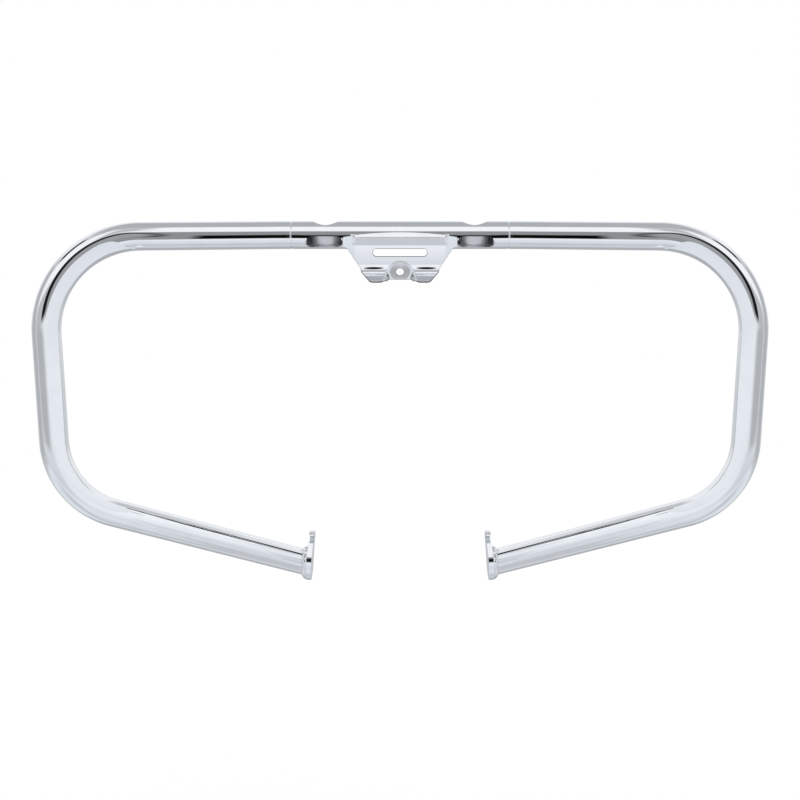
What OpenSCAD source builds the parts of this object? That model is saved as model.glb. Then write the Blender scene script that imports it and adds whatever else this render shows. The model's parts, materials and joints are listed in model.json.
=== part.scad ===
// Front engine guard for a motorcycle: one chromed tube loop on each side, a stamped
// centre bracket with a bolt seat, and a slotted lug at the end of each lower leg.
// X runs across the motorcycle, Y towards its rear, Z up. The origin is the middle of
// the centre bolt hole, on the face that lies against the frame.

/* [Tube] */
// Outside diameter of the tube
tube_od = 31.75; // [25:0.25:38]
// Wall of the tube
tube_wall = 2.5; // [1.5:0.1:4]
// Chamfer on the tube ends that meet at a seam
seam_chamfer = 1; // [0.2:0.1:1.2]

/* [Centre tube] */
// Length of the straight centre tube, from seam to seam
centre_length = 247; // [225:1:280]
// Distance between the two saddles for the frame's down tubes
saddle_spacing = 169; // [150:1:180]
// Radius of a saddle, that of a down tube with its clearance
saddle_radius = 16.8; // [14:0.1:19]
// Lean of the down tubes that the saddles fit, top towards the front
saddle_lean = 31; // [0:1:35]
// Depth of a saddle past the middle of the tube, at the height of its axis
saddle_reach = 7.2; // [4:0.2:8]
// Length of each window along the tube
window_length = 42; // [30:1:50]
// Width of each window round the tube
window_width = 14.4; // [10:0.2:18]
// Angle of each window below the front of the tube
window_angle = 41; // [30:1:50]
// Distance between the middles of the two windows
window_spacing = 172; // [160:1:176]

/* [Side tubes] */
// Straight length between the seam and the first bend
lead_in = 3.5; // [1:0.5:20]
// First bend, which sweeps the loop forward
sweep_bend = 9; // [2:0.5:15]
// Radius of the first bend, at the middle of the tube
sweep_radius = 101.6; // [80:0.1:120]
// Droop of the plane in which the first bend lies
sweep_droop = 12; // [0:1:30]
// Straight length of the upper run
upper_run = 150; // [120:1:190]
// Bend at the upper outer corner
loop_bend = 91.3; // [80:0.1:100]
// Radius of the bend at the upper outer corner
loop_radius = 105.5; // [85:0.5:125]
// Turn of the tube between the first bend and the upper corner
loop_turn = 82; // [75:0.5:90]
// Straight length of the upright side
side_run = 118.4; // [80:0.2:160]
// Bend at the lower outer corner
leg_bend = 68.7; // [60:0.1:78]
// Radius of the bend at the lower outer corner
leg_radius = 95.5; // [80:0.5:115]
// Turn of the tube between the upper and the lower corner
leg_turn = 16.5; // [5:0.5:25]

/* [Joining sleeves] */
// Length of a sleeve inside the centre tube
sleeve_inner = 18; // [8:0.5:18]
// Distance between the end of a sleeve and the first bend of the side tube
sleeve_stop = 0; // [0:0.1:0.8]
// Wall of a sleeve
sleeve_wall = 2.5; // [1.5:0.1:4]

/* [Centre bracket] */
// Thickness of the bracket's plate
plate = 3.2; // [2:0.1:5]
// Half the width of the bracket where it lies on the tube
bracket_half_width = 65; // [60:1:70]
// Rise of the upper edge in the middle, above the axis of the tube
lip_rise = 0.4; // [0:0.2:4]
// Fall of the upper edge from its middle to its ends
lip_fall = 5.2; // [4:0.2:9]
// How far the lip stands in front of the tube
lip_stand = 5.4; // [4:0.2:8]
// Tilt of the lip from upright, upper edge towards the rear
lip_tilt = 12; // [0:1:20]
// Depth of the lip below the axis of the tube, where the step starts
step_top = 6.4; // [5:0.2:8]
// Height of the step below the lip
step_height = 6.4; // [5:0.2:7]
// Set-back of the web behind the lip
step_depth = 8.6; // [6:0.2:10]
// Half the width of the step
step_half_width = 52.5; // [46:0.5:56]
// Tilt of the web from upright, lower end towards the rear
web_tilt = 30; // [15:1:40]
// Depth of the bend between web and flange, below the axis of the tube
flange_top = 38.5; // [35:0.5:44]
// Depth of the bracket's lower edge, below the axis of the tube
bracket_drop = 54.4; // [52:0.2:60]
// Tilt of the flange from upright, lower end towards the front
flange_tilt = 33; // [10:1:45]
// Radius of the bend between web and flange, on its front
flange_bend_radius = 6; // [4:0.5:10]
// Half the width of the bracket at the bend
waist_half_width = 45.5; // [40:0.5:50]
// How far the bracket has drawn in where it leaves the underside of the tube
shoulder_set = 5; // [2:0.5:8]
// Half the width of the bracket's lower edge
base_half_width = 34; // [28:0.5:38]
// Length of the slot in the web
slot_length = 62; // [40:1:70]
// Height of the slot in the web, along the plate
slot_height = 9.4; // [6:0.2:10]
// Depth of the middle of the slot, below the axis of the tube
slot_drop = 21.2; // [20:0.2:23]

/* [Bolt seat] */
// Radius of the flat bolt seat
seat_radius = 12.6; // [11:0.2:14]
// Tilt of the bolt seat from upright
seat_tilt = 31; // [28:1:40]
// Set-back of the seat behind the web, at its upper edge
seat_set = 2; // [1:0.1:2.6]
// Slope of the wall next to the seat
seat_draft = 42; // [30:1:50]
// Height of that sloping wall
seat_wall = 4.5; // [3:0.5:6]
// Slope of the rim above the sloping wall
seat_flare = 8; // [4:1:12]
// Rise of the bracket's lower edge under the seat
seat_cut = 4.6; // [2:0.2:6]
// Depth of the top of the seat, below the axis of the tube
seat_top = 31.8; // [31:0.2:33]
// Diameter of the centre bolt hole
bolt_hole = 9.2; // [6.6:0.2:12]

/* [End lugs] */
// Clear width between the two lugs, at the height of the legs' ends
lug_gap = 219; // [180:1:230]
// Thickness of a lug
lug_plate = 6; // [4:0.2:8]
// Lean of the lugs, upper ends towards each other
lug_tilt = 3.5; // [0:0.5:8]
// Radius of a lug round the end of the tube
lug_radius = 21; // [19.5:0.5:26]
// Height of the slot above the end of the tube's axis
lug_slot_rise = 30; // [26:0.5:36]
// Place of the slot's closed end behind the end of the tube's axis
lug_slot_set = 9; // [2:0.5:12]
// Width of the slot in a lug
lug_slot_width = 8.8; // [6.6:0.2:11]
// Metal round the slot
lug_slot_land = 4.4; // [4:0.2:9]
// Depth of the ear from the slot's closed end to its rear
ear_back = 13; // [12:0.5:20]
// Radius of the ear's corners
ear_corner = 7.5; // [5:0.5:11]

/* [Welds] */
// Length of the lug weld along the tube
weld_leg = 6.5; // [3:0.5:9]
// Width of the lug weld on the plate
weld_foot = 4.6; // [3:0.2:5]
// Crown of a weld over a flat fillet
weld_crown = 1.1; // [0.3:0.1:2]
// Depth of the ripples on a weld
weld_ripple = 0.35; // [0:0.05:0.8]
// Leg of the fillet between the bracket and the underside of the tube
bracket_weld_leg = 5; // [3:0.5:7]
// Distance between each bracket weld and the end of the slot
bracket_weld_set = 5; // [2:0.5:8]
// Distance between each bracket weld and the end of the bracket
bracket_weld_inset = 8; // [6:0.5:12]

/* [Hidden] */
$fn = 96;
tube_r = tube_od / 2;
bore_r = tube_r - tube_wall;
far = 400;
nudge = 0.2;
weld_clearance = 0.05;
sleeve_clearance = 0.12;
dent_clearance = 0.5;
bend_lap = 0.3;
bend_draw = 0.2;

// Moves along the tube are 4 by 4 matrices. In each frame z runs along the tube.
function shift(v) = [[1, 0, 0, v[0]], [0, 1, 0, v[1]], [0, 0, 1, v[2]], [0, 0, 0, 1]];
function turn(a) = [[cos(a), -sin(a), 0, 0], [sin(a), cos(a), 0, 0], [0, 0, 1, 0], [0, 0, 0, 1]];
function pitch(a) = [[cos(a), 0, sin(a), 0], [0, 1, 0, 0], [-sin(a), 0, cos(a), 0], [0, 0, 0, 1]];
function past_bend(r, a) = shift([r, 0, 0]) * pitch(a) * shift([-r, 0, 0]);
function place(m) = [m[0][3], m[1][3], m[2][3]];
function axis_x(m) = [m[0][0], m[1][0], m[2][0]];
function axis_y(m) = [m[0][1], m[1][1], m[2][1]];
function axis_z(m) = [m[0][2], m[1][2], m[2][2]];
function unit(v) = v / norm(v);

// The route of the right side tube, from the seam to the end lug
seam_x = centre_length / 2;
at_seam = [[0, 0, 1, seam_x], [-1, 0, 0, 0], [0, -1, 0, 0], [0, 0, 0, 1]];
at_sweep = at_seam * shift([0, 0, lead_in]) * turn(sweep_droop);
at_upper = at_sweep * past_bend(sweep_radius, sweep_bend);
at_loop = at_upper * shift([0, 0, upper_run]) * turn(loop_turn);
at_side = at_loop * past_bend(loop_radius, loop_bend);
at_corner = at_side * shift([0, 0, side_run]) * turn(leg_turn);
at_leg = at_corner * past_bend(leg_radius, leg_bend);
leg_dir = axis_z(at_leg);

// The leg's axis ends on the outer face of the lug
lug_face_x = lug_gap / 2 + lug_plate;
leg_run = (place(at_leg)[0] - lug_face_x) / -leg_dir[0];
leg_end = place(at_leg) + leg_run * leg_dir;
lug_out = [cos(lug_tilt), 0, sin(lug_tilt)];
// Spare length that the cut along the lug takes off
leg_spare = tube_r * sqrt(1 - leg_dir[0] * leg_dir[0]) / -leg_dir[0] + 5;
lug_cut = 4 * tube_od;

// The bracket's front face, as Y and Z from the axis of the tube
lip_front = -tube_r - lip_stand;
web_top = [lip_front + step_depth, -step_top - step_height];
web_foot = [web_top[0] + (flange_top + web_top[1]) * tan(web_tilt), -flange_top];
flange_foot = [web_foot[0] - (bracket_drop - flange_top) * tan(flange_tilt), -bracket_drop];

slot_middle = [web_top[0] + (slot_drop + web_top[1]) * tan(web_tilt), -slot_drop];

// The bolt seat, whose upper rim lies on the web
seat_rim = [web_top[0] + (seat_top + web_top[1]) * tan(web_tilt), -seat_top];
seat_middle = seat_rim + seat_set * [cos(seat_tilt), sin(seat_tilt)]
    + seat_radius * [sin(seat_tilt), -cos(seat_tilt)];
seat_back = seat_middle + plate * [cos(seat_tilt), sin(seat_tilt)];
// The part's origin, as seen from the middle of the centre tube
origin = [0, seat_back[0], seat_back[1]];

// Corners of an outline, each one rounded with its own radius
function corner_arc(p, a, b, r, n) =
    let (u = unit(a - p), v = unit(b - p), half = acos(u * v) / 2)
    let (c = p + r / sin(half) * unit(u + v))
    let (s = p + u * r / tan(half) - c, e = p + v * r / tan(half) - c)
    [for (i = [0 : n]) c + r * unit(s * (1 - i / n) + e * (i / n))];
function rounded(points, radii, n = 8) =
    let (m = len(points))
    [for (i = [0 : m - 1])
        each radii[i] > 0
            ? corner_arc(points[i], points[(i + m - 1) % m], points[(i + 1) % m], radii[i], n)
            : [points[i]]];

module frame_origin() translate(-origin) children();

module other_side() mirror([1, 0, 0]) children();

// A bend in round bar, whose middle lies at +X. It is drawn in by a hair and reaches
// a little into the straight lengths on both sides
module bend(r, a, radius)
    translate([radius, 0, 0]) rotate([90, 0, 180])
        rotate_extrude(angle = a + 2 * bend_lap, start = -bend_lap)
            translate([radius, 0]) circle(r = r - bend_draw);

// Carries what follows a bend to its far end
module past(a, radius)
    translate([radius, 0, 0]) rotate([0, a, 0]) translate([-radius, 0, 0]) children();

// Carries the next bend to the end of a straight length, turned about the tube
module along(l, turned) translate([0, 0, l]) rotate([0, 0, turned]) children();

module side_route(r, early) {
    multmatrix(at_seam) {
        translate([0, 0, -early]) cylinder(r = r, h = lead_in + early);
        along(lead_in, sweep_droop) {
            bend(r, sweep_bend, sweep_radius);
            past(sweep_bend, sweep_radius) {
                cylinder(r = r, h = upper_run);
                along(upper_run, loop_turn) {
                    bend(r, loop_bend, loop_radius);
                    past(loop_bend, loop_radius) {
                        cylinder(r = r, h = side_run);
                        along(side_run, leg_turn) {
                            bend(r, leg_bend, leg_radius);
                            past(leg_bend, leg_radius)
                                cylinder(r = r, h = leg_run + leg_spare + early);
                        }
                    }
                }
            }
        }
    }
}

// A cutter that chamfers a tube end which looks along +X from the left
module seam_cutter(x, facing) {
    translate([x, 0, 0]) rotate([0, facing * 90, 0]) rotate_extrude()
        polygon([[tube_r - seam_chamfer, nudge], [tube_r + nudge * 2, nudge],
                 [tube_r + nudge * 2, -seam_chamfer - nudge * 2]]);
}

module saddle_bar(r, x) {
    translate([x, -saddle_reach + saddle_radius / cos(saddle_lean), 0]) rotate([saddle_lean, 0, 0])
        cylinder(r = r, h = 4 * tube_od, center = true);
}

module window_cutter(x) {
    end_r = window_width / 2;
    reach = window_length / 2 - end_r;
    translate([x, 0, 0]) rotate([window_angle, 0, 0]) rotate([90, 0, 0]) {
        for (s = [-1, 1]) translate([s * reach, 0, 0]) cylinder(r = end_r, h = tube_od);
        translate([-reach, -end_r, 0]) cube([2 * reach, window_width, tube_od]);
    }
}

module centre_tube() color("gainsboro") frame_origin() {
    difference() {
        union() {
            difference() {
                rotate([0, 90, 0]) cylinder(r = tube_r, h = centre_length, center = true);
                rotate([0, 90, 0]) cylinder(r = bore_r, h = centre_length + 2, center = true);
                for (s = [-1, 1]) window_cutter(s * window_spacing / 2);
            }
            for (s = [-1, 1]) intersection() {
                rotate([0, 90, 0]) cylinder(r = bore_r + nudge, h = centre_length, center = true);
                saddle_bar(saddle_radius + tube_wall, s * saddle_spacing / 2);
            }
        }
        for (s = [-1, 1]) saddle_bar(saddle_radius, s * saddle_spacing / 2);
        seam_cutter(seam_x, 1);
        seam_cutter(-seam_x, -1);
    }
}

// The end of the leg, with X out of the lug's outer face and Z up along it
module at_lug() translate(leg_end) rotate([0, -lug_tilt, 0]) children();

module side_tube() {
    difference() {
        side_route(tube_r, 0);
        side_route(bore_r, 1);
        seam_cutter(seam_x, -1);
        at_lug() translate([-lug_cut, -lug_cut / 2, -lug_cut / 2]) cube(lug_cut);
    }
}

module right_side_tube() color("gainsboro") frame_origin() side_tube();

module left_side_tube() color("gainsboro") frame_origin() other_side() side_tube();

// A sleeve reaches into both tubes, and keeps clear of the dent behind the saddle
module sleeve() {
    dent_end = saddle_spacing / 2 + saddle_radius + tube_wall + dent_clearance;
    start = max(seam_x - sleeve_inner, dent_end);
    length = seam_x + lead_in - sleeve_stop - start;
    translate([start, 0, 0]) rotate([0, 90, 0]) difference() {
        cylinder(r = bore_r - sleeve_clearance, h = length);
        translate([0, 0, -1]) cylinder(r = bore_r - sleeve_clearance - sleeve_wall, h = length + 2);
    }
}

module right_sleeve() color("dimgray") frame_origin() sleeve();

module left_sleeve() color("dimgray") frame_origin() other_side() sleeve();

// The space behind the front face of the plate, as a prism across the part
module behind_front(half_width, stepped) {
    upper = stepped
        ? [[lip_front + (far + step_top) * tan(lip_tilt), far], [lip_front, -step_top], web_top]
        : [[web_top[0] - (far - web_top[1]) * tan(web_tilt), far]];
    front = concat(upper, [web_foot, flange_foot]);
    radii = stepped ? [0, 1.2, 2.5, flange_bend_radius, 0] : [0, flange_bend_radius, 0];
    lower = flange_foot + far * [-tan(flange_tilt), -1];
    rotate([90, 0, 90]) translate([0, 0, -half_width]) linear_extrude(2 * half_width)
        polygon(rounded(
            concat(front, [lower, [far, lower[1]], [far, far]]), concat(radii, [0, 0, 0])));
}

module bracket_sheet(half_width, stepped) {
    difference() {
        behind_front(half_width, stepped);
        translate([0, plate, 0]) behind_front(half_width + 1, stepped);
    }
}

module bracket_outline() {
    lip_r = (bracket_half_width * bracket_half_width + lip_fall * lip_fall) / (2 * lip_fall);
    // Half of the outline, from its upper end to the middle of its lower edge
    half = [[bracket_half_width, far], [bracket_half_width, shoulder_set - tube_r],
            [bracket_half_width - shoulder_set, -tube_r - shoulder_set / 2],
            [waist_half_width, 1 - flange_top], [waist_half_width - 1, -flange_top - 3],
            [base_half_width, -bracket_drop], [seat_radius + seat_cut * 2, -bracket_drop],
            [seat_radius, seat_cut - bracket_drop]];
    // The radius at each of those corners
    radii = [0, 3, 12, 3, 3, 5, 4, 4];
    m = len(half) - 1;
    intersection() {
        polygon(rounded(
            concat(half, [for (i = [m : -1 : 0]) [-half[i][0], half[i][1]]]),
            concat(radii, [for (i = [m : -1 : 0]) radii[i]])));
        translate([0, lip_rise - lip_r]) circle(r = lip_r, $fn = 360);
    }
}

// The bolt seat, with Z out of its face towards the front
module seat_frame()
    translate([0, seat_middle[0], seat_middle[1]]) rotate([90 + seat_tilt, 0, 0]) children();

// The hollow of the seat, or the cup round it when it grows by the plate. Its wall
// slopes widely next to the seat, and steeply above
module seat_hollow(grow) {
    foot = seat_radius + grow / cos(seat_draft) - grow * tan(seat_draft);
    steeper = tan(seat_draft) - tan(seat_flare);
    knee = seat_wall - grow * (1 / cos(seat_draft) - 1 / cos(seat_flare)) / steeper;
    knee_r = foot + (knee + grow) * tan(seat_draft);
    top = 2 * seat_radius;
    seat_frame() rotate_extrude()
        polygon([[0, -grow], [foot, -grow], [knee_r, knee],
                 [knee_r + (top - knee) * tan(seat_flare), top], [0, top]]);
}

module bracket_slot_cutter() {
    translate([0, slot_middle[0], slot_middle[1]]) rotate([web_tilt, 0, 0]) {
        for (s = [-1, 1]) translate([s * (slot_length - slot_height) / 2, 0, 0]) rotate([90, 0, 0])
            cylinder(d = slot_height, h = 8 * plate, center = true);
        cube([slot_length - slot_height, 8 * plate, slot_height], center = true);
    }
}

module centre_bracket() color("lightsteelblue") frame_origin() {
    difference() {
        intersection() {
            union() {
                bracket_sheet(step_half_width, true);
                difference() {
                    bracket_sheet(bracket_half_width, false);
                    translate([plate - step_half_width, -far / 2, web_top[1]])
                        cube([2 * (step_half_width - plate), far, far]);
                }
                intersection() {
                    behind_front(bracket_half_width, false);
                    seat_hollow(plate);
                }
            }
            rotate([90, 0, 0]) translate([0, 0, -far]) linear_extrude(2 * far) bracket_outline();
        }
        seat_hollow(0);
        seat_frame() cylinder(d = bolt_hole, h = far, center = true);
        rotate([0, 90, 0]) cylinder(r = tube_r, h = 2 * far, center = true);
        bracket_slot_cutter();
    }
}

function arc_points(c, r, from, to, n) =
    [for (i = [0 : n]) let (a = from + (to - from) * i / n) c + r * [cos(a), sin(a)]];

// The lug's outline, as Y and Z from the end of the tube's axis: an arc round the tube
// and two corners of the ear, joined by tangents
module lug_outline() {
    top = lug_slot_rise + lug_slot_width / 2 + lug_slot_land - ear_corner;
    front = [lug_slot_set - ear_back + ear_corner, top];
    rear = [lug_slot_set + ear_back - ear_corner, top];
    front_turn = atan2(front[1], front[0]) + acos((lug_radius - ear_corner) / norm(front));
    rear_turn = atan2(rear[1], rear[0]) - acos((lug_radius - ear_corner) / norm(rear));
    polygon(concat(
        arc_points([0, 0], lug_radius, front_turn, rear_turn + 360, 48),
        arc_points(rear, ear_corner, rear_turn, 90, 16),
        arc_points(front, ear_corner, 90, front_turn, 16)));
}

module lug() {
    at_lug() translate([-lug_plate, 0, 0]) difference() {
        rotate([90, 0, 90]) linear_extrude(lug_plate) lug_outline();
        translate([-1, lug_slot_set, lug_slot_rise]) rotate([0, 90, 0])
            cylinder(d = lug_slot_width, h = lug_plate + 2);
        translate([-1, lug_slot_set - far, lug_slot_rise - lug_slot_width / 2])
            cube([lug_plate + 2, far, lug_slot_width]);
    }
}

module right_lug() color("lightsteelblue") frame_origin() lug();

module left_lug() color("lightsteelblue") frame_origin() other_side() lug();

// A bead swept round the end of the leg: each ring holds the crease, the toe on the
// tube and the toe on the lug, with a crowned face between the two toes
weld_rings = 72;
weld_face = 5;
function weld_point(k) =
    let (a = 360 * k / weld_rings, out = cos(a) * axis_x(at_leg) + sin(a) * axis_y(at_leg))
    let (on_tube = place(at_leg) + (tube_r + weld_clearance) * out)
    let (reach = ((on_tube - leg_end) * lug_out - weld_clearance) / -(leg_dir * lug_out))
    let (crease = on_tube + leg_dir * reach)
    let (foot_dir = unit(out - (out * lug_out) * lug_out))
    let (size = 1 + weld_ripple * sin(a * 15) / weld_foot)
    let (on_leg = crease - weld_leg * size * leg_dir, on_lug = crease + weld_foot * size * foot_dir)
    let (crown = unit(out - leg_dir) * weld_crown)
    concat([crease],
        [for (i = [0 : weld_face]) let (t = i / weld_face)
            on_leg * (1 - t) + on_lug * t + crown * 4 * t * (1 - t)]);

module ring_weld() {
    m = weld_face + 2;
    points = [for (k = [0 : weld_rings - 1]) each weld_point(k)];
    faces = [for (k = [0 : weld_rings - 1]) for (i = [0 : m - 1])
        let (n = (k + 1) % weld_rings, j = (i + 1) % m)
        each [[k * m + i, k * m + j, n * m + j], [k * m + i, n * m + j, n * m + i]]];
    polyhedron(points = points, faces = faces);
}

module right_lug_weld() color("silver") frame_origin() ring_weld();

module left_lug_weld() color("silver") frame_origin() other_side() ring_weld();

// The fillet between the back of the web and the underside of the tube
module bracket_weld() {
    start = slot_length / 2 + bracket_weld_set;
    length = bracket_half_width - bracket_weld_inset - start;
    behind = plate + weld_clearance;
    back_y = function(z) web_top[0] + (web_top[1] - z) * tan(web_tilt) + behind;
    crease_z = -tube_r * 0.985;
    intersection() {
        translate([start, 0, 0]) rotate([90, 0, 90]) linear_extrude(length) difference() {
            translate([back_y(crease_z), crease_z]) circle(r = bracket_weld_leg);
            circle(r = tube_r + weld_clearance);
            polygon([[back_y(far), far], [back_y(-far), -far], [-far, -far], [-far, far]]);
        }
        cube(far, center = true);
    }
}

module right_bracket_weld() color("silver") frame_origin() bracket_weld();

module left_bracket_weld() color("silver") frame_origin() other_side() bracket_weld();

centre_tube();
left_side_tube();
right_side_tube();
left_sleeve();
right_sleeve();
centre_bracket();
left_lug();
right_lug();
left_lug_weld();
right_lug_weld();
left_bracket_weld();
right_bracket_weld();
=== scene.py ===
import json
import math

import bpy
from mathutils import Matrix, Vector
from mathutils.geometry import delaunay_2d_cdt
from mathutils.kdtree import KDTree

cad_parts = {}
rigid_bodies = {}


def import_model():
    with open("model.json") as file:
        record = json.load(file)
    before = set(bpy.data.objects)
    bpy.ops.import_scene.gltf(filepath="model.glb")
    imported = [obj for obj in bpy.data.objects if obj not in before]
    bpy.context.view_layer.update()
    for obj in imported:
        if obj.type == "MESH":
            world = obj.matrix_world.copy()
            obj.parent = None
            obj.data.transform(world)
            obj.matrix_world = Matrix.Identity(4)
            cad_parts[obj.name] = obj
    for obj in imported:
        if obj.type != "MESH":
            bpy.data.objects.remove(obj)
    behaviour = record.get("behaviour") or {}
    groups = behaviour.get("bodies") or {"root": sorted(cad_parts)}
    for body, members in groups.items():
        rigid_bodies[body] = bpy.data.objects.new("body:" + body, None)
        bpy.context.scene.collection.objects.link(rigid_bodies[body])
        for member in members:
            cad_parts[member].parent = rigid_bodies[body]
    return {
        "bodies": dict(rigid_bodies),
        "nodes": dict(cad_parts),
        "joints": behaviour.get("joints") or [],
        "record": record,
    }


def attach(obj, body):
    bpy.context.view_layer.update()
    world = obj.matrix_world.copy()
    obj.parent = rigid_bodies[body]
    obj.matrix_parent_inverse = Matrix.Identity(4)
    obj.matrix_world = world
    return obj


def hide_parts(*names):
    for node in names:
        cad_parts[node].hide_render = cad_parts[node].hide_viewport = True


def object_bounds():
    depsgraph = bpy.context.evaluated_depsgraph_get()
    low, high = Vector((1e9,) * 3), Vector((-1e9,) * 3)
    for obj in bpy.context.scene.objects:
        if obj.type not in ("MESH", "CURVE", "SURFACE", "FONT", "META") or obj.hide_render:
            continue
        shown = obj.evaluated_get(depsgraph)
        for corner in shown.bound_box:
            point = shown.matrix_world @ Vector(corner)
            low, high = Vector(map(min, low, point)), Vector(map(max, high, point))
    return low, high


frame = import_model()
cad_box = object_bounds()
nodes = frame["nodes"]

# The bar's own axis, in the part's frame. Places below are given from it, in metres
ORIGIN = Vector((0.0, 0.00924140, -0.03992211))
SIDES = ((-1, "left"), (1, "right"))

# Camera, level and at the height of the loop's middle
CAMERA_PLACE = (0.0, -1.21875, -0.1885)
LENS_MM = 48.0
SENSOR_MM = 36.0
NEAR_CLIP = 0.01


def at_bar(x, y, z):
    """A place given from the bar's axis, in the part's frame."""
    return Vector((x, y, z)) - ORIGIN


def link(thing):
    """Put an object into the scene."""
    bpy.context.scene.collection.objects.link(thing)


def make_camera():
    """A level camera in front of the bar."""
    data = bpy.data.cameras.new("camera")
    data.lens = LENS_MM
    data.sensor_width = SENSOR_MM
    data.clip_start = NEAR_CLIP
    camera = bpy.data.objects.new("camera", data)
    camera.location = at_bar(*CAMERA_PLACE)
    camera.rotation_euler = (math.radians(90), 0, 0)
    link(camera)
    bpy.context.scene.camera = camera
    bpy.context.scene.view_settings.view_transform = "Standard"


# Greys are given as they look on screen. The studio's light is a little cool all over
SCREEN_GAMMA = 2.2
COOL_EVERYWHERE = 0.02
BLUE_SHARE = 1.4


def tone(bright, cool=0.0):
    """A grey as it is seen on screen, made into light, with a cool cast where asked."""
    light = bright ** SCREEN_GAMMA
    cool += COOL_EVERYWHERE
    return (light * (1 - cool), light, light * (1 + BLUE_SHARE * cool), 1.0)


class Graph:
    """Short names for the nodes of one tree."""

    def __init__(self, tree):
        tree.nodes.clear()
        self.nodes = tree.nodes
        self.links = tree.links

    def new(self, kind, **sockets):
        node = self.nodes.new(kind)
        for name, value in sockets.items():
            self.put(node.inputs[name], value)
        return node

    def put(self, socket, value):
        if isinstance(value, bpy.types.NodeSocket):
            self.links.new(value, socket)
        else:
            socket.default_value = value

    def math(self, operation, a, b=0.0):
        node = self.nodes.new("ShaderNodeMath")
        node.operation = operation
        self.put(node.inputs[0], a)
        self.put(node.inputs[1], b)
        return node.outputs[0]

    def plus(self, a, b):
        return self.math("ADD", a, b)

    def minus(self, a, b):
        return self.math("SUBTRACT", a, b)

    def times(self, a, b):
        return self.math("MULTIPLY", a, b)

    def over(self, a, b):
        return self.math("DIVIDE", a, b)

    def length(self, a, b):
        return self.math("SQRT", self.plus(self.times(a, a), self.times(b, b)))

    def step(self, value, low, high):
        """0 below low, 1 above high, and smooth between them."""
        node = self.nodes.new("ShaderNodeMapRange")
        node.interpolation_type = "SMOOTHSTEP"
        self.put(node.inputs["Value"], value)
        self.put(node.inputs["From Min"], low)
        self.put(node.inputs["From Max"], high)
        return node.outputs["Result"]

    def band(self, value, rise, full, fade, end):
        """1 from full to fade, and 0 before rise and after end."""
        return self.times(self.step(value, rise, full), self.minus(1.0, self.step(value, fade, end)))

    def ellipse(self, x, z, middle, size, soft):
        """1 inside an ellipse, falling to 0 at its edge."""
        u = self.over(self.minus(x, middle[0]), size[0])
        v = self.over(self.minus(z, middle[1]), size[1])
        return self.minus(1.0, self.step(self.length(u, v), 1.0 - soft, 1.0 + soft))

    def mix(self, factor, a, b):
        node = self.nodes.new("ShaderNodeMix")
        node.data_type = "RGBA"
        self.put(node.inputs["Factor"], factor)
        color_sockets = (node.inputs[6], node.inputs[7])
        for socket, value in zip(color_sockets, (a, b)):
            self.put(socket, value)
        return node.outputs[2]

    def shades(self, value, stops):
        """Greys along a value. Each stop is a place on it, a brightness and a cool cast."""
        low, high = stops[0][0], stops[-1][0]
        node = self.nodes.new("ShaderNodeValToRGB")
        elements = node.color_ramp.elements
        while len(elements) > 1:
            elements.remove(elements[0])
        elements[0].position = 0.0
        elements[0].color = tone(*stops[0][1:])
        for place, *shade in stops[1:]:
            elements.new((place - low) / (high - low)).color = tone(*shade)
        self.put(node.inputs["Fac"], self.over(self.minus(value, low), high - low))
        return node.outputs["Color"]

    def lay_patches(self, color, across, up, patches):
        """Lay each patch, which is a band across, a band upwards and a shade, over what lies under it."""
        for across_band, up_band, shade in patches:
            mask = self.times(self.band(across, *across_band), self.band(up, *up_band))
            color = self.mix(mask, color, tone(*shade))
        return color

    def place_at_bar(self):
        """The shaded point's X, Y and Z from the bar's axis."""
        place = self.new("ShaderNodeVectorMath", Vector=self.object_place())
        place.inputs[1].default_value = ORIGIN
        return self.new("ShaderNodeSeparateXYZ", Vector=place.outputs[0]).outputs

    def object_place(self):
        return self.new("ShaderNodeTexCoord").outputs["Object"]

    def plainly_seen(self, path):
        """1 for what the camera sees, straight or through something clear."""
        return self.math("MAXIMUM", path.outputs["Is Camera Ray"], path.outputs["Is Transmission Ray"])

    def choose(self, factor, first, second):
        """The first shader where the factor is 0, and the second where it is 1."""
        node = self.new("ShaderNodeMixShader")
        self.put(node.inputs[0], factor)
        self.links.new(first.outputs[0], node.inputs[1])
        self.links.new(second.outputs[0], node.inputs[2])
        return node

    def show(self, kind, shader):
        """Make a shader the surface of an output node."""
        self.links.new(shader.outputs[0], self.new(kind).inputs["Surface"])


def new_material(name):
    """An empty material and the graph of its nodes."""
    material = bpy.data.materials.new(name)
    material.use_nodes = True
    return material, Graph(material.node_tree)


# A band is where it begins, is full, starts to fade and ends. One that has no start or no end is given these
ALWAYS = (-400.0, -300.0)
ONWARDS = (300.0, 400.0)

# The studio that metal sees, from straight down to straight up: degrees, brightness and cool cast
SKY = ((-90, 0.77, 0.02), (-75, 0.85, 0.03), (-60, 0.90, 0.03), (-30, 0.90, 0.03), (-22, 0.79, 0.01),
       (2, 0.82, 0.01), (10, 0.93, 0.01), (48, 0.96, 0.0), (60, 0.75, 0.01), (66, 0.705, 0.01),
       (90, 0.70, 0.01))

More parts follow.
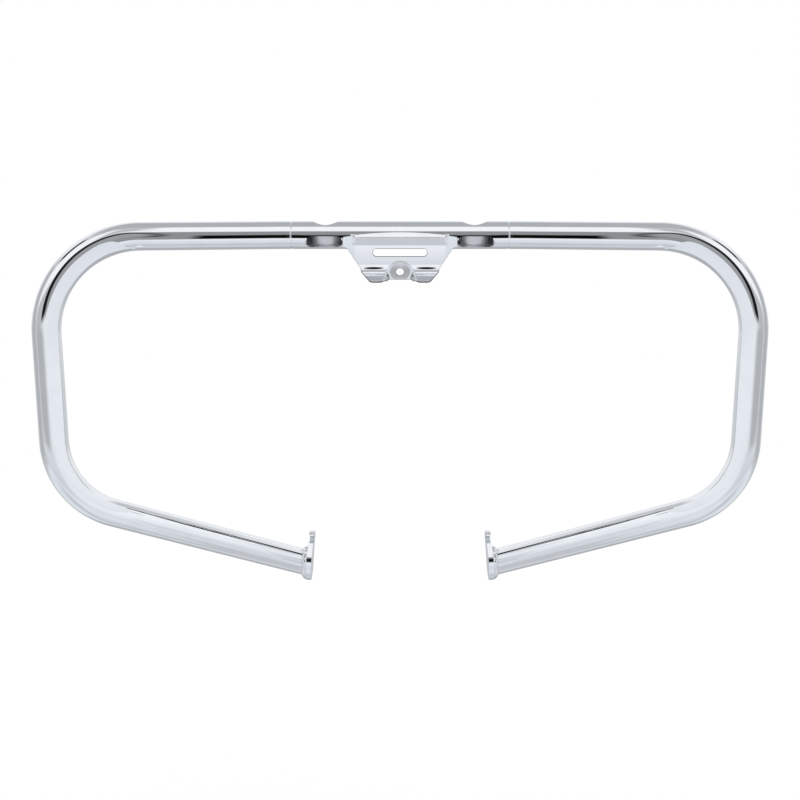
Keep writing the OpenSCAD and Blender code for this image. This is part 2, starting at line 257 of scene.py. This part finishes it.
# Its patches, as bands in degrees of turn from the front and of rise from level, with a shade
STUDIO_PATCHES = (
    # The grey wall beside the object
    ((66.0, 84.0, 112.0, 126.0), (-24.0, -12.0, 30.0, 40.0), (0.71, 0.01)),
    # The floor behind it
    ((125.0, 150.0, *ONWARDS), (-75.0, -55.0, -18.0, -4.0), (0.70, 0.01)),
    # The floor in front of it, towards each side
    ((24.0, 34.0, 60.0, 80.0), (*ALWAYS, -60.0, -30.0), (0.78, 0.02)),
    # The dark gap high up on each side
    ((64.0, 71.0, 89.0, 95.0), (33.0, 41.0, 52.0, 57.0), (0.10, 0.03)),
)
WHITE = (1, 1, 1, 1)
SOFT_LIGHT = (0.92, 0.94, 1.0, 1)
SOFT_STRENGTH = 0.75


def make_world():
    """A white studio. Metal sees its ceiling, its walls with a gap on each side, and a pale floor."""
    world = bpy.data.worlds.new("studio")
    bpy.context.scene.world = world
    world.use_nodes = True
    g = Graph(world.node_tree)
    place = g.new("ShaderNodeTexCoord").outputs["Generated"]
    x, y, z = g.new("ShaderNodeSeparateXYZ", Vector=place).outputs
    degrees = 180 / math.pi
    turn = g.times(g.math("ARCTAN2", g.math("ABSOLUTE", x), g.times(y, -1.0)), degrees)
    rise = g.times(g.math("ARCSINE", z), degrees)
    painted = g.lay_patches(g.shades(rise, SKY), turn, rise, STUDIO_PATCHES)
    path = g.new("ShaderNodeLightPath")
    metal_sees = g.new("ShaderNodeBackground", Color=painted, Strength=1.0)
    camera_sees = g.new("ShaderNodeBackground", Color=WHITE, Strength=1.0)
    light = g.new("ShaderNodeBackground", Color=SOFT_LIGHT, Strength=SOFT_STRENGTH)
    unseen = g.choose(path.outputs["Is Glossy Ray"], light, metal_sees)
    g.show("ShaderNodeOutputWorld", g.choose(g.plainly_seen(path), unseen, camera_sees))


# The plate's slight unevenness: where each noise begins to show and is full, and how far it shades the metal
CLOUD_SHOWS = (0.35, 0.7)
CLOUD_SHADE = 0.975
FINE_SHOWS = (0.45, 0.75)
FINE_SCALE = 900.0

# The dull bore inside the centre tube: the radius where it gives way to bright plate, and its looks
BORE_EDGE = (0.0136, 0.0138)
BORE_COLOR = (0.80, 0.80, 0.82, 1)
BORE_ROUGHER = 0.35
BORE_LESS_METAL = 0.65


def chrome(name, color, roughness, wave=0.0, wave_scale=60.0, haze=0.0, bare=0.0):
    """Bright plate: a faint waviness in the polish, haze in places, and a dull bore where bare is 1."""
    material, g = new_material(name)
    place = g.object_place()
    cloud = g.new("ShaderNodeTexNoise", Vector=place, Scale=wave_scale, Detail=3.0, Roughness=0.5)
    fine = g.new("ShaderNodeTexNoise", Vector=place, Scale=FINE_SCALE, Detail=2.0, Roughness=0.6)
    shaded = tuple(c * CLOUD_SHADE for c in color[:3]) + (1.0,)
    tint = g.mix(g.step(cloud.outputs["Fac"], *CLOUD_SHOWS), color, shaded)
    rough = g.plus(roughness, g.times(g.step(fine.outputs["Fac"], *FINE_SHOWS), haze))
    bump = g.new("ShaderNodeBump", Strength=1.0, Distance=wave, Height=cloud.outputs["Fac"])
    _, y, z = g.place_at_bar()
    bore = g.times(g.minus(1.0, g.step(g.length(y, z), *BORE_EDGE)), bare)
    tint = g.mix(bore, tint, BORE_COLOR)
    rough = g.plus(rough, g.times(bore, BORE_ROUGHER))
    metal = g.minus(1.0, g.times(bore, BORE_LESS_METAL))
    shader = g.new("ShaderNodeBsdfPrincipled", Metallic=metal, Roughness=rough)
    g.put(shader.inputs["Base Color"], tint)
    g.links.new(bump.outputs["Normal"], shader.inputs["Normal"])
    g.show("ShaderNodeOutputMaterial", shader)
    return material


def dress(node, material):
    """Give a solid its material."""
    data = nodes[node].data
    data.materials.clear()
    data.materials.append(material)


# The front wall's painted reflection, below the camera's height: how it shades from the floor up, in its
# middle and at its sides
WALL_MIDDLE = ((-0.70, 0.86, 0.02), (-0.58, 0.88, 0.03), (-0.44, 0.94, 0.03), (-0.24, 0.96, 0.02),
               (-0.14, 0.95, 0.02))
WALL_SIDES = ((-0.70, 0.82, 0.02), (-0.40, 0.86, 0.03), (-0.24, 0.94, 0.02), (-0.14, 0.93, 0.02))
MIDDLE_TO_SIDES = (0.18, 0.40)
LOWER_TO_UPPER = (-0.14, -0.10)
WALL_WHITE = 0.985

# Its patches, as bands of X and Z in metres with a shade
WALL_PATCHES = (
    # A grey strip high up
    ((0.25, 0.30, 0.42, 0.52), (0.20, 0.26, *ONWARDS), (0.76, 0.01)),
    # The far sides
    ((0.50, 0.62, *ONWARDS), (-0.30, -0.20, 0.02, 0.10), (0.74, 0.01)),
    # The shade below the sides
    ((0.34, 0.56, *ONWARDS), (-0.40, -0.30, -0.15, -0.11), (0.71, 0.01)),
    # The camera stand, in grey
    ((*ALWAYS, 0.25, 0.31), (-0.30, -0.27, 0.13, 0.18), (0.57, 0.01)),
)
STAND_BODY = (((*ALWAYS, 0.165, 0.195), (-0.275, -0.235, -0.07, -0.03), (0.07, 0.03)),)

# The stand's arms in the painted reflection, as ellipses dark outside and grey inside: middle, half sizes,
# softness, foot and shade
ARM_ELLIPSES = (
    ((0.40, -0.03), (0.175, 0.24), 0.10, (-0.13, -0.10), (0.12, 0.05)),
    ((0.335, -0.02), (0.095, 0.13), 0.18, (-0.13, -0.11), (0.62, 0.01)),
)


def paint_front(g, x, y, z):
    """A painted reflection of the wall in front of the object: white, with the dark camera stand and its
    arms.
    """
    lower = g.mix(g.step(x, *MIDDLE_TO_SIDES), g.shades(z, WALL_MIDDLE), g.shades(z, WALL_SIDES))
    color = g.mix(g.step(z, *LOWER_TO_UPPER), lower, tone(WALL_WHITE))
    color = g.lay_patches(color, x, z, WALL_PATCHES)
    for middle, size, soft, foot, shade in ARM_ELLIPSES:
        mask = g.times(g.ellipse(x, z, middle, size, soft), g.step(z, *foot))
        color = g.mix(mask, color, tone(*shade))
    return g.lay_patches(color, x, z, STAND_BODY)


# The small cards near the bracket carry painted reflections for it. The lens card has one dark ellipse on
# each side, a painted dark reflection for the bracket's bend
LENS_SHADES = ((-0.25, 0.88, 0.03), (-0.19, 0.985, 0.0), (-0.05, 0.985, 0.0))
LENS_MIDDLE = (0.034, -0.068)
LENS_SIZE = (0.0125, 0.044)
LENS_SOFT = 0.12
LENS_DARK = (0.07, 0.03)
RIM_RISE = (-0.034, -0.001)
RIM_LOW = (0.77, 0.02)
RIM_HIGH = (0.72, 0.02)

# How the other cards' painted reflections shade: the upright ones by Z, and the one under the bracket by Y
SIDE_SHADES = ((-0.75, 0.82, 0.03), (-0.40, 0.87, 0.03), (-0.27, 0.94, 0.02), (-0.15, 0.94, 0.02),
               (-0.07, 0.895, 0.03), (0.25, 0.90, 0.03))
MIDDLE_SHADES = ((-0.75, 0.82, 0.03), (-0.45, 0.87, 0.03), (-0.33, 0.955, 0.02), (-0.20, 0.97, 0.02),
                 (0.05, 0.985, 0.01))
UNDER_CARD_SHADES = ((-0.235, 0.90, 0.03), (-0.192, 0.885, 0.03), (-0.188, 0.82, 0.02), (-0.178, 0.66, 0.01),
                (-0.170, 0.69, 0.01), (-0.161, 0.73, 0.01), (-0.155, 0.80, 0.02))


def paint_lens(g, x, y, z):
    """A white card close to the bracket, with a painted dark reflection for its bend."""
    dark = g.ellipse(x, z, LENS_MIDDLE, LENS_SIZE, LENS_SOFT)
    return g.mix(dark, g.shades(z, LENS_SHADES), tone(*LENS_DARK))


def paint_rim(g, x, y, z):
    """A grey card just in front of the bracket's lip, a painted reflection for the lip."""
    return g.mix(g.step(z, *RIM_RISE), tone(*RIM_LOW), tone(*RIM_HIGH))


def paint_side(g, x, y, z):
    """The card inside each loop, painted with a reflection for the metal."""
    return g.shades(z, SIDE_SHADES)


def paint_middle(g, x, y, z):
    """The card between the two loops, painted with a reflection for the metal."""
    return g.shades(z, MIDDLE_SHADES)


def paint_under_card(g, x, y, z):
    """A level card under the bracket, painted with reflections: a strip for the web and one for the bolt
    seat.
    """
    return g.shades(y, UNDER_CARD_SHADES)


def studio_card(name, corners, paint):
    """A glowing card that only metal sees, painted by a function of its own place in metres: a painted
    reflection.
    """
    mesh = bpy.data.meshes.new(name)
    mesh.from_pydata([tuple(at_bar(*c)) for c in corners], [], [(0, 1, 2, 3)])
    plane = bpy.data.objects.new(name, mesh)
    link(plane)
    material, g = new_material(name)
    x, y, z = g.place_at_bar()
    # The card's glow is a painted reflection, seen only in the metal
    glow = g.new("ShaderNodeEmission", Color=paint(g, g.math("ABSOLUTE", x), y, z), Strength=1.0)
    g.show("ShaderNodeOutputMaterial", glow)
    mesh.materials.append(material)
    plane.visible_camera = False
    plane.visible_diffuse = False
    plane.visible_shadow = False
    plane.visible_transmission = False
    plane.visible_volume_scatter = False


# Where the cards stand, in metres
WALL_HALF = 1.15
WALL_Y = -0.40
WALL_LOW, WALL_HIGH = -0.60, 0.75
MIDDLE_BACK = -0.07
MIDDLE_HIGH = 0.3
SIDE_X = 0.30
SIDE_LOW, SIDE_HIGH = -0.31, -0.05
UNDER_CARD_HALF = 0.085
UNDER_CARD_Y = (-0.235, -0.155)
UNDER_CARD_Z = -0.30


def facing(half, y, low, high):
    """Corners of an upright card across the view."""
    return [(-half, y, low), (half, y, low), (half, y, high), (-half, y, high)]


def lengthwise(x, back, low, high):
    """Corners of an upright card that runs from the front wall to a given depth."""
    return [(x, WALL_Y, low), (x, back, low), (x, back, high), (x, WALL_Y, high)]


def level(half, front, back, z):
    """Corners of a level card or floor."""
    return [(-half, front, z), (half, front, z), (half, back, z), (-half, back, z)]


def make_cards():
    """Glowing cards with painted reflections: the front wall, the cards between and inside the loops, and
    three for the bracket.
    """
    studio_card("front_card", facing(WALL_HALF, WALL_Y, WALL_LOW, WALL_HIGH), paint_front)
    studio_card("middle_card", lengthwise(0, MIDDLE_BACK, WALL_LOW, MIDDLE_HIGH), paint_middle)
    for side, name in SIDES:
        studio_card(name + "_card", lengthwise(side * SIDE_X, 0.0, SIDE_LOW, SIDE_HIGH), paint_side)
    studio_card("under_card", level(UNDER_CARD_HALF, *UNDER_CARD_Y, UNDER_CARD_Z), paint_under_card)
    studio_card("lens_card", facing(half=0.062, y=-0.16, low=-0.24, high=-0.010), paint_lens)
    studio_card("rim_card", facing(half=0.047, y=-0.045, low=-0.030, high=-0.0005), paint_rim)


# The floor: how far it lies below the object, its two pale greys, and the glow that makes it white
FLOOR_DROP = 0.25
FLOOR_HALF = 6.0
FLOOR_GREYS = ((0.87, 0.87, 0.87, 1), (0.85, 0.85, 0.85, 1))
FLOOR_LIFT = (0.415, 0.405, 0.365, 1)


def make_floor():
    """A pale floor below the object: white to the camera, less the object's shadow."""
    mesh = bpy.data.meshes.new("floor")
    corners = level(FLOOR_HALF, -FLOOR_HALF, FLOOR_HALF, cad_box[0][2] - FLOOR_DROP)
    mesh.from_pydata(corners, [], [(0, 1, 2, 3)])
    floor = bpy.data.objects.new("floor", mesh)
    link(floor)
    material, g = new_material("floor")
    cloud = g.new("ShaderNodeTexNoise", Vector=g.object_place(), Scale=1.5, Detail=2.0)
    pale = g.new("ShaderNodeBsdfDiffuse", Color=g.mix(cloud.outputs["Fac"], *FLOOR_GREYS))
    seen = g.plainly_seen(g.new("ShaderNodeLightPath"))
    lift = g.new("ShaderNodeEmission", Color=FLOOR_LIFT, Strength=seen)
    both = g.new("ShaderNodeAddShader")
    g.links.new(pale.outputs[0], both.inputs[0])
    g.links.new(lift.outputs[0], both.inputs[1])
    g.show("ShaderNodeOutputMaterial", both)
    mesh.materials.append(material)
    floor.visible_glossy = False


# Sizes of the tubes as in the solids, in metres and degrees, from the seam outwards
TUBE_R = 0.015875
WALL = 0.0025
SEAM_X = 0.1235
SEAM_CHAMFER = 0.001
LEAD_IN = 0.0035
SWEEP_DROOP = 12
SWEEP_BEND = 9
SWEEP_RADIUS = 0.1016
UPPER_RUN = 0.150
LOOP_TURN = 82
LOOP_BEND = 91.3
LOOP_RADIUS = 0.1055
SIDE_RUN = 0.1184
LEG_TURN = 16.5
LEG_BEND = 68.7
LEG_RADIUS = 0.0955
LUG_FACE_X = 0.1155
LUG_TILT = 3.5

# How finely the tubes are drawn: faces round them, and steps for each degree of a bend
TUBE_FACES = 96
STEPS_PER_DEGREE = 0.8
LEAST_STEPS = 4

# Rings at the seam's edge: how deep each lies and how far it is drawn in, as shares of the chamfer, and how
# far its normal leans out of the tube's end
SEAM_RINGS = ((0.0, 1.0, 6.0), (0.12, 0.5, 1.8), (0.5, 0.12, 0.6), (1.0, 0.0, 0.0))


class Route:
    """A tube's axis as a row of frames with z along the tube, and the twist of each frame."""

    def __init__(self, start):
        self.at = start
        self.twist = 0.0
        self.frames = [(start.copy(), 0.0)]

    def mark(self):
        self.frames.append((self.at.copy(), self.twist))

    def straight(self, length):
        self.at = self.at @ Matrix.Translation((0, 0, length))
        self.mark()

    def turn(self, degrees):
        self.at = self.at @ Matrix.Rotation(math.radians(degrees), 4, "Z")
        self.twist += math.radians(degrees)

    def bend(self, degrees, radius):
        count = max(LEAST_STEPS, round(degrees * STEPS_PER_DEGREE))
        hinge = Matrix.Translation((radius, 0, 0))
        step = hinge @ Matrix.Rotation(math.radians(degrees / count), 4, "Y") @ hinge.inverted()
        for _ in range(count):
            self.at = self.at @ step
            self.mark()


def side_route():
    """The right side tube's axis, from the seam to the start of the straight leg."""
    along_x = Matrix(((0, 0, 1, SEAM_X), (-1, 0, 0, 0), (0, -1, 0, 0), (0, 0, 0, 1)))
    route = Route(along_x)
    route.straight(LEAD_IN)
    route.turn(SWEEP_DROOP)
    route.bend(SWEEP_BEND, SWEEP_RADIUS)
    route.straight(UPPER_RUN)
    route.turn(LOOP_TURN)
    route.bend(LOOP_BEND, LOOP_RADIUS)
    route.straight(SIDE_RUN)
    route.turn(LEG_TURN)
    route.bend(LEG_BEND, LEG_RADIUS)
    return route


def solid_mesh(name, points, faces, normals, side=1):
    """A mesh in the part's frame, mirrored where side is -1, with its own vertex normals."""
    flip = Vector((side, 1, 1))
    mesh = bpy.data.meshes.new(name)
    mesh.from_pydata([at_bar(*(p * flip)) for p in points], [],
                     [f if side > 0 else tuple(reversed(f)) for f in faces])
    mesh.shade_smooth()
    mesh.normals_split_custom_set_from_vertices([(n * flip).normalized() for n in normals])
    piece = bpy.data.objects.new(name, mesh)
    link(piece)
    return piece


def bridge(first, second, count):
    """Quads between two rings of vertices that start at two indices."""
    return [(first + i, first + (i + 1) % count, second + (i + 1) % count, second + i)
            for i in range(count)]


def leg_plane(route, along):
    """Where the leg's axis meets the lug's outer face, and that face's normal."""
    start = route.at.translation
    end = start + along * ((LUG_FACE_X - start.x) / along.x)
    tilt = math.radians(LUG_TILT)
    return end, Vector((math.cos(tilt), 0, math.sin(tilt)))


def side_tube(name, side):
    """One bent tube with a wall, a chamfer at the seam and a leg cut flush with its lug."""
    route = side_route()
    along = route.at.to_3x3() @ Vector((0, 0, 1))
    end, facing_out = leg_plane(route, along)
    bore = TUBE_R - WALL
    points, normals, rings = [], [], []

    def ring(frame, twist, radius, lean=0.0, inward=False):
        rings.append(len(points))
        sign = -1 if inward else 1
        for i in range(TUBE_FACES):
            a = 2 * math.pi * i / TUBE_FACES - twist
            out = frame.to_3x3() @ Vector((math.cos(a), math.sin(a), 0))
            points.append(frame.translation + out * radius)
            normals.append(sign * out - frame.to_3x3() @ Vector((0, 0, lean)))

    def cut(frame, twist, radius, inward=False):
        ring(frame, twist, radius, inward=inward)
        for i in range(rings[-1], len(points)):
            points[i] = points[i] + along * ((end - points[i]).dot(facing_out) / along.dot(facing_out))

    seam, _ = route.frames[0]
    for deep, drawn_in, lean in SEAM_RINGS:
        at = seam @ Matrix.Translation((0, 0, deep * SEAM_CHAMFER))
        ring(at, 0.0, TUBE_R - drawn_in * SEAM_CHAMFER, lean)
    for frame, twist in route.frames[1:]:
        ring(frame, twist, TUBE_R)
    cut(route.at, route.twist, TUBE_R)
    cut(route.at, route.twist, bore, inward=True)
    for frame, twist in reversed(route.frames):
        ring(frame, twist, bore, inward=True)
    faces = []
    for first, second in zip(rings, rings[1:] + rings[:1]):
        faces += bridge(first, second, TUBE_FACES)
    return solid_mesh(name, points, faces, normals, side)


# The bracket's sheet, as Y and Z of its front face from the axis of the tube, and each face's slope
PLATE = 0.0032
LIP = (-0.021275, -0.0064)
WEB_TOP = (-0.012675, -0.0128)
WEB_FOOT = (0.00274, -0.0395)
LIP_TILT, WEB_TILT, FLANGE_TILT, SEAT_TILT = (math.tan(math.radians(a)) for a in (12, 30, 33, 31))
STEP_FOOT_TILT = 0.3

# Where the pressed step ends towards each side, and how far below the web's top it still counts
STEP_END = (0.0505, 0.0545)
STEP_BELOW = 0.002

# The width over which one face runs into the next
LIP_SOFT = 0.0012
STEP_SOFT = 0.0006
FLANGE_SOFT = 0.007
SEAT_SOFT = 0.0012
KNEE_SOFT = 0.0015

# The bolt seat: a disc with a steep wall up to its knee and a flared one beyond it, and how far it can reach
SEAT_MIDDLE = (0.0064985, -0.0415702)
SEAT_R = 0.0126
SEAT_KNEE = 0.0045
SEAT_SLOPE = 1 / math.tan(math.radians(42))
SEAT_FLARE = 1 / math.tan(math.radians(14))
SEAT_HALF = 0.021
SEAT_HIGHEST = -0.026

# The search for the seat's wall goes from behind the sheet to its front, in steps and then in halves
SEARCH_AHEAD = 0.001
SEARCH_BEHIND = 0.022
SEARCH_STEPS = 24
HALVINGS = 14
NORMAL_STEP = 0.00015


def soft_max(a, b, width):
    """The larger of two values, rounded where they are close."""
    blend = max(width - abs(a - b), 0.0) / width
    return max(a, b) + blend * blend * width / 4


def soft_min(a, b, width):
    return -soft_max(-a, -b, width)


def smooth(value, low, high):
    """0 below low, 1 above high, and smooth between them."""
    t = min(max((value - low) / (high - low), 0.0), 1.0)
    return t * t * (3 - 2 * t)


def sheet_y(x, z):
    """The sheet's front face before the bolt seat is pressed into it."""
    web = WEB_TOP[0] - (z - WEB_TOP[1]) * WEB_TILT
    flange = WEB_FOOT[0] + (z - WEB_FOOT[1]) * FLANGE_TILT
    lip = LIP[0] + (z - LIP[1]) * LIP_TILT
    riser = LIP[0] - (z - LIP[1]) * (WEB_TOP[0] - LIP[0]) / (LIP[1] - WEB_TOP[1])
    foot = web if z < WEB_TOP[1] else WEB_TOP[0] - (z - WEB_TOP[1]) * STEP_FOOT_TILT
    pressed = soft_min(soft_max(lip, riser, LIP_SOFT), foot, STEP_SOFT)
    if z > WEB_TOP[1] - STEP_BELOW:
        web = web + (pressed - web) * (1 - smooth(abs(x), *STEP_END))
    return soft_min(web, flange, FLANGE_SOFT)


def seat_gap(x, y, z):
    """How far a point lies in front of the seat's pressed face."""
    lean = math.atan(SEAT_TILT)
    c, s = math.cos(lean), math.sin(lean)
    dy, dz = y - SEAT_MIDDLE[0], z - SEAT_MIDDLE[1]
    out, up = -c * dy - s * dz, c * dz - s * dy
    reach = math.hypot(x, up)
    wall = soft_max((reach - SEAT_R) * SEAT_SLOPE, 0.0, SEAT_SOFT)
    knee = SEAT_R + SEAT_KNEE / SEAT_SLOPE
    wall = soft_max(wall, SEAT_KNEE + (reach - knee) * SEAT_FLARE, KNEE_SOFT)
    return out - wall


def front_y(x, z):
    """The finished front face, with the bolt seat."""
    base = sheet_y(x, z)
    if abs(x) > SEAT_HALF or z > SEAT_HIGHEST:
        return base
    near, far = base - SEARCH_AHEAD, base + SEARCH_BEHIND
    y = far
    for _ in range(SEARCH_STEPS):
        ahead = y - (far - near) / SEARCH_STEPS
        if seat_gap(x, ahead, z) > 0:
            break
        y = ahead
    else:
        return base
    low, high = ahead, y
    for _ in range(HALVINGS):
        mid = (low + high) / 2
        if seat_gap(x, mid, z) > 0:
            low = mid
        else:
            high = mid
    return soft_max(base, (low + high) / 2, SEAT_SOFT)


def front_normal(x, z):
    """The front face's normal, from the face a little to each side."""
    d = NORMAL_STEP
    across = (front_y(x + d, z) - front_y(x - d, z)) / (2 * d)
    up = (front_y(x, z + d) - front_y(x, z - d)) / (2 * d)
    return Vector((across, -1.0, up)).normalized()


# Outlines as X and Z. The bracket's right half goes from below its upper corner down towards the middle
# of its foot, and each corner is its X, its Z and its radius
ARCH_HALF = 0.065
ARCH_RISE = 0.0052
ARCH_TOP = 0.0004
ARCH_STEP = 0.005
ARCH_STEPS = 12
UPPER_CORNER_R = 0.002
BRACKET_CORNERS = (
    (0.065, -0.0158, 0.0015), (0.0605, -0.0158, 0.008), (0.0455, -0.0375, 0.003), (0.0445, -0.0415, 0.003),
    (0.034, -0.0544, 0.005), (0.0218, -0.0544, 0.004), (0.0126, -0.0498, 0.004),
)
BOLT_R = 0.0046
SLOT_HALF = 0.031
SLOT_R = 0.0047
SLOT_MIDDLE_Z = -0.0212
CORNER_STEPS = 8
ROUND_STEP = 10
RIM_SPACING = 0.0007


def rounded_line(points, radii):
    """A closed outline with each corner rounded, as evenly spaced points."""
    raw = []
    count = len(points)
    for i, (corner, radius) in enumerate(zip(points, radii)):
        corner = Vector(corner)
        u = (Vector(points[i - 1]) - corner).normalized()
        v = (Vector(points[(i + 1) % count]) - corner).normalized()
        if radius == 0:
            raw.append(corner)
            continue
        half = u.angle(v) / 2
        middle = corner + (u + v).normalized() * (radius / math.sin(half))
        a = corner + u * (radius / math.tan(half)) - middle
        b = corner + v * (radius / math.tan(half)) - middle
        for k in range(CORNER_STEPS + 1):
            t = k / CORNER_STEPS
            raw.append(middle + (a * (1 - t) + b * t).normalized() * radius)
    lengths = [(raw[(i + 1) % len(raw)] - raw[i]).length for i in range(len(raw))]
    total = sum(lengths)
    count = round(total / RIM_SPACING)
    line, at, start = [], 0, 0.0
    for k in range(count):
        want = total * k / count
        while start + lengths[at] < want:
            start += lengths[at]
            at += 1
        line.append(raw[at].lerp(raw[(at + 1) % len(raw)], (want - start) / lengths[at]))
    return line


def arch_z(x):
    """The height of the bracket's arched upper edge."""
    radius = (ARCH_HALF ** 2 + ARCH_RISE ** 2) / (2 * ARCH_RISE)
    return ARCH_TOP - radius + math.sqrt(radius * radius - x * x)


def bracket_outline():
    """The bracket's outline with its arched upper edge, anticlockwise from the front."""
    half = [(ARCH_HALF, arch_z(ARCH_HALF))] + [(x, z) for x, z, _ in BRACKET_CORNERS]
    radii = [UPPER_CORNER_R] + [radius for _, _, radius in BRACKET_CORNERS]
    places = [i * ARCH_STEP for i in range(-ARCH_STEPS, ARCH_STEPS + 1)]
    arc = [(x, arch_z(x)) for x in places]
    points = [(-x, z) for x, z in half] + half[::-1] + arc[::-1]
    return rounded_line(points, radii + radii[::-1] + [0] * len(arc))


def slot_outline():
    """The web's slot with round ends, as it is seen square to X and Z."""
    lean = math.cos(math.atan(WEB_TILT))
    straight = SLOT_HALF - SLOT_R
    arc = [math.radians(90 - a) for a in range(0, 181, ROUND_STEP)]
    right = [(straight + SLOT_R * math.cos(a), SLOT_MIDDLE_Z + lean * SLOT_R * math.sin(a)) for a in arc]
    points = right + [(-x, z) for x, z in right[::-1]]
    return rounded_line(points, [0] * len(points))


def bolt_outline():
    """The round bolt hole, as it is seen square to X and Z."""
    lean = math.cos(math.atan(SEAT_TILT))
    arc = [-math.radians(a) for a in range(0, 360, ROUND_STEP)]
    points = [(BOLT_R * math.cos(a), SEAT_MIDDLE[1] + lean * BOLT_R * math.sin(a)) for a in arc]
    return rounded_line(points, [0] * len(points))


# How the sheet's thickness lies: back and up behind the web and the seat, back and down behind the flange,
# and straight back behind the lip. Each change is given as where it begins and ends
WEB_RISE = 0.25
FLANGE_RISE = -0.2
FLANGE_TURN = (0.036, 0.0415)
LIP_TURN = (-0.017, -0.013)
SEAT_TURN = (0.0135, 0.019)
SEAT_FLATTER = 0.857


def behind(x, z):
    """The step from the front face to the back face."""
    reach = math.hypot(x, (z - SEAT_MIDDLE[1]) / SEAT_FLATTER)
    low = smooth(-z, *FLANGE_TURN) * smooth(reach, *SEAT_TURN)
    high = smooth(z, *LIP_TURN)
    up = WEB_RISE * (1 - low) * (1 - high) + FLANGE_RISE * low
    return Vector((0, math.sqrt(1 - up * up), up)) * PLATE


def inset(line, distance):
    """The outline moved to its left, which is into the sheet."""
    moved = []
    for i, p in enumerate(line):
        along = (line[(i + 1) % len(line)] - line[i - 1]).normalized()
        moved.append(p + Vector((-along.y, along.x)) * distance)
    return moved


def inside(x, z, loop):
    """Whether a point lies within a closed outline."""
    hit = False
    for i, b in enumerate(loop):
        a = loop[i - 1]
        if (a.y > z) != (b.y > z) and x < (b.x - a.x) * (z - a.y) / (b.y - a.y) + a.x:
            hit = not hit
    return hit


# The grid of points between the sheet's outlines, in staggered rows, and how clear it stays of them
GRID_LEFT = -0.0656
GRID_X = 0.0008
GRID_Z = 0.00077
GRID_COLUMNS = 165
GRID_ROWS = 72
GRID_CLEAR = 0.0005
SAME_POINT = 1e-7

# The sheet's rounded edges
EDGE_R = 0.00035
EDGE_STEPS = 3


def flat_sheet(loops):
    """The sheet seen from the front: its points, and the triangles outside the slot and the bolt hole."""
    near = KDTree(sum(len(loop) for loop in loops))
    flat, edges = [], []
    for loop in loops:
        start = len(flat)
        flat += loop
        edges += [(start + i, start + (i + 1) % len(loop)) for i in range(len(loop))]
    for i, p in enumerate(flat):
        near.insert((p.x, p.y, 0), i)
    near.balance()
    for i in range(GRID_COLUMNS):
        for j in range(GRID_ROWS):
            x = GRID_LEFT + GRID_X * i + (GRID_X / 2 if j % 2 else 0)
            z = ARCH_TOP - GRID_Z * j
            if near.find((x, z, 0))[2] > GRID_CLEAR:
                flat.append(Vector((x, z)))
    verts, _, tris, _, _, _ = delaunay_2d_cdt(flat, edges, [], 0, SAME_POINT)
    outline, *holes = loops
    kept = []
    for tri in tris:
        x = sum(verts[i].x for i in tri) / 3
        z = sum(verts[i].y for i in tri) / 3
        if inside(x, z, outline) and not any(inside(x, z, hole) for hole in holes):
            kept.append(tri)
    return verts, kept


def round_rim(points, normals, backs, start, total, back_start):
    """The rounded edge from one outline on the front to the same one on the back."""
    outward = []
    for i in range(total):
        before = start + (i - 1) % total
        along = points[start + (i + 1) % total] - points[before]
        outward.append(along.cross(normals[start + i]).normalized())
    turns = [(math.pi / 2 * k / EDGE_STEPS, 1) for k in range(1, EDGE_STEPS + 1)]
    turns += [(a, -1) for a, _ in reversed(turns)]
    rings = [start]
    for a, facing_front in turns:
        rings.append(len(points))
        deep = EDGE_R / PLATE * (1 - math.cos(a))
        share = deep if facing_front > 0 else 1 - deep
        for i in range(total):
            out = outward[i]
            points.append(points[start + i] + out * EDGE_R * math.sin(a) + backs[start + i] * share)
            normals.append(out * math.sin(a) + normals[start + i] * math.cos(a) * facing_front)
    rings.append(back_start)
    faces = []
    for first, second in zip(rings, rings[1:]):
        faces += bridge(first, second, total)
    return faces


def centre_bracket():
    """The stamped bracket as one smooth sheet with rounded edges."""
    loops = [inset(line, EDGE_R) for line in (bracket_outline(), slot_outline(), bolt_outline())]
    verts, triangles = flat_sheet(loops)
    backs = [behind(v.x, v.y) for v in verts]
    points = [Vector((v.x, front_y(v.x, v.y), v.y)) for v in verts]
    normals = [front_normal(v.x, v.y) for v in verts]
    count = len(points)
    faces = []
    for a, b, c in triangles:
        clockwise = (verts[b] - verts[a]).cross(verts[c] - verts[a]) < 0
        front = (a, c, b) if clockwise else (a, b, c)
        faces.append(front)
        faces.append(tuple(count + i for i in reversed(front)))
    points += [p + q for p, q in zip(points, backs)]
    normals += [-n for n in normals]
    start = 0
    for loop in loops:
        faces += round_rim(points, normals, backs, start, len(loop), count + start)
        start += len(loop)
    return solid_mesh("centre_bracket_sheet", points, faces, normals)


make_camera()
make_world()
tube = chrome("tube_chrome", (0.93, 0.935, 0.945, 1), 0.03, wave=0.00001, bare=1.0)
plate = chrome("plate_chrome", (0.91, 0.915, 0.93, 1), 0.05, wave=0.00002)
bead = chrome("weld_chrome", (0.86, 0.865, 0.875, 1), 0.10, wave=0.0002, wave_scale=250.0)
steel = chrome("sleeve_steel", (0.40, 0.40, 0.41, 1), 0.35, wave=0.0001, haze=0.1)
for name in nodes:
    dress(name, steel if "sleeve" in name else bead if "weld" in name else tube if "tube" in name else plate)

for side, name in SIDES:
    piece = side_tube(name + "_bent_tube", side)
    piece.data.materials.append(tube)
    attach(piece, "root")
    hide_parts(name + "_side_tube")
sheet = centre_bracket()
sheet.data.materials.append(plate)
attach(sheet, "root")
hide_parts("centre_bracket")

make_cards()
make_floor()
